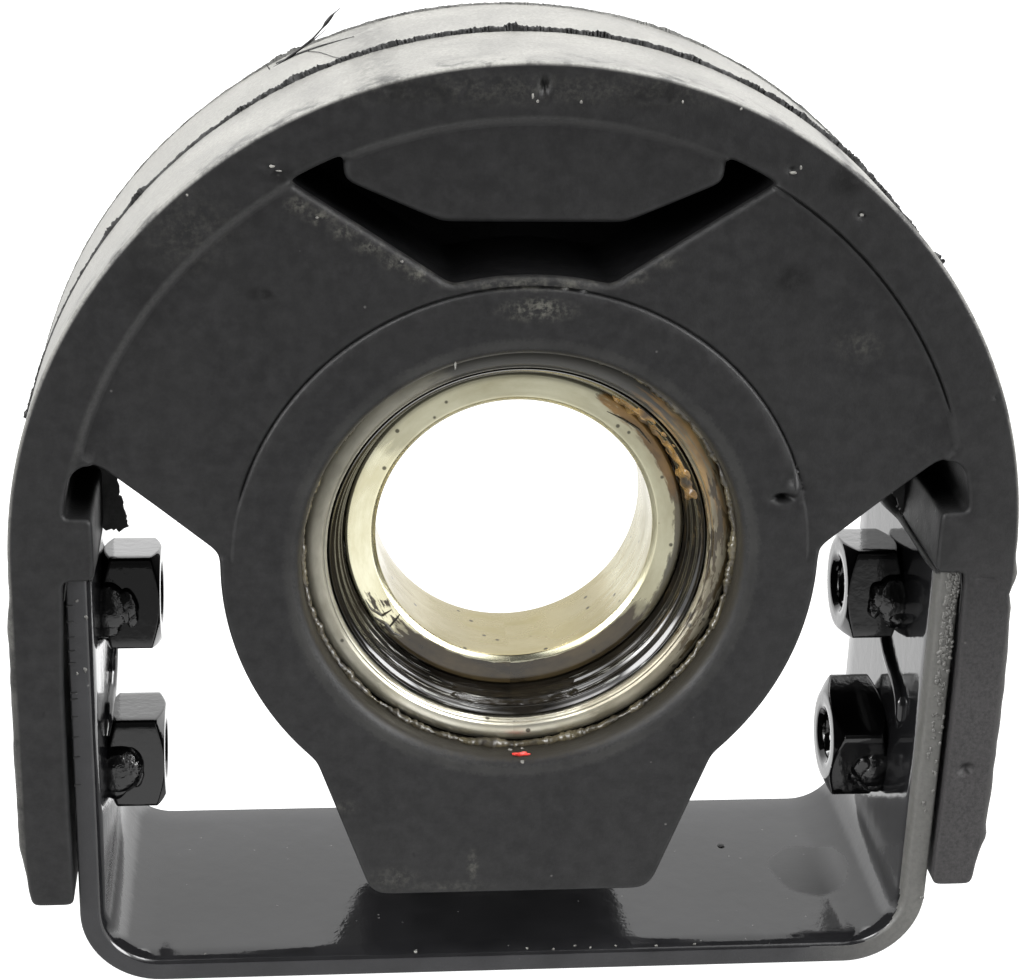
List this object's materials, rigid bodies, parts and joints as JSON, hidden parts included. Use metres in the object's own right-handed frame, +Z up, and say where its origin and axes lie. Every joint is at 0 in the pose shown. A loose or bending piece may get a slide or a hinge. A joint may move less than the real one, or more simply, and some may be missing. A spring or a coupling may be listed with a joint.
{
  "type": "driveshaft centre bearing",
  "caption": "Horseshoe rubber cushion with a sealed ball bearing in its hub, on a steel U strap with weld nuts; carries a driveshaft at mid-length.",
  "frame": {"origin": "centre of the ball bearing, on the shaft axis at mid depth of the cushion", "axes": "+Y along the shaft, away from the pictured side; +Z up, away from the strap's floor; +X to the right"},
  "size_m": [0.194, 0.0617, 0.1896],
  "materials": {
    "cushion_rubber": "semi-gloss moulded",
    "strap_paint": "gloss black paint",
    "nut_paint": "gloss black paint",
    "bearing_steel": "ground, with a yellow grease film",
    "seal_steel": "stamped, greasy",
    "seal_rubber": "wet gloss",
    "cage_steel": "pressed",
    "ball_steel": "polished"
  },
  "bodies": {
    "support": {"rubber_cushion": "cushion_rubber", "strap_bracket": "strap_paint", "upper_left_nut": "nut_paint", "lower_left_nut": "nut_paint", "upper_right_nut": "nut_paint", "lower_right_nut": "nut_paint", "nut_welds": "nut_paint", "outer_ring": "bearing_steel", "front_seal_case": "seal_steel", "front_seal_lip": "seal_rubber", "rear_seal_case": "seal_steel", "rear_seal_lip": "seal_rubber"},
    "inner": {"inner_ring": "bearing_steel"},
    "cage": {"cage_front_half": "cage_steel", "cage_rear_half": "cage_steel", "cage_rivets": "cage_steel", "ball_1": "ball_steel", "ball_2": "ball_steel", "ball_3": "ball_steel", "ball_4": "ball_steel", "ball_5": "ball_steel", "ball_6": "ball_steel", "ball_7": "ball_steel", "ball_8": "ball_steel", "ball_9": "ball_steel", "ball_10": "ball_steel", "ball_11": "ball_steel", "ball_12": "ball_steel"}
  },
  "joints": [
    {"name": "inner_ring_spin", "type": "hinge", "parent": "support", "child": "inner", "pos_m": [0, 0, 0], "axis": [0, 1, 0], "continuous": true},
    {"name": "cage_orbit", "type": "hinge", "parent": "support", "child": "cage", "pos_m": [0, 0, 0], "axis": [0, 1, 0], "continuous": true}
  ],
  "couplings": [
    {"joint": "cage_orbit", "follows": "inner_ring_spin", "ratio": 0.42414}
  ]
}
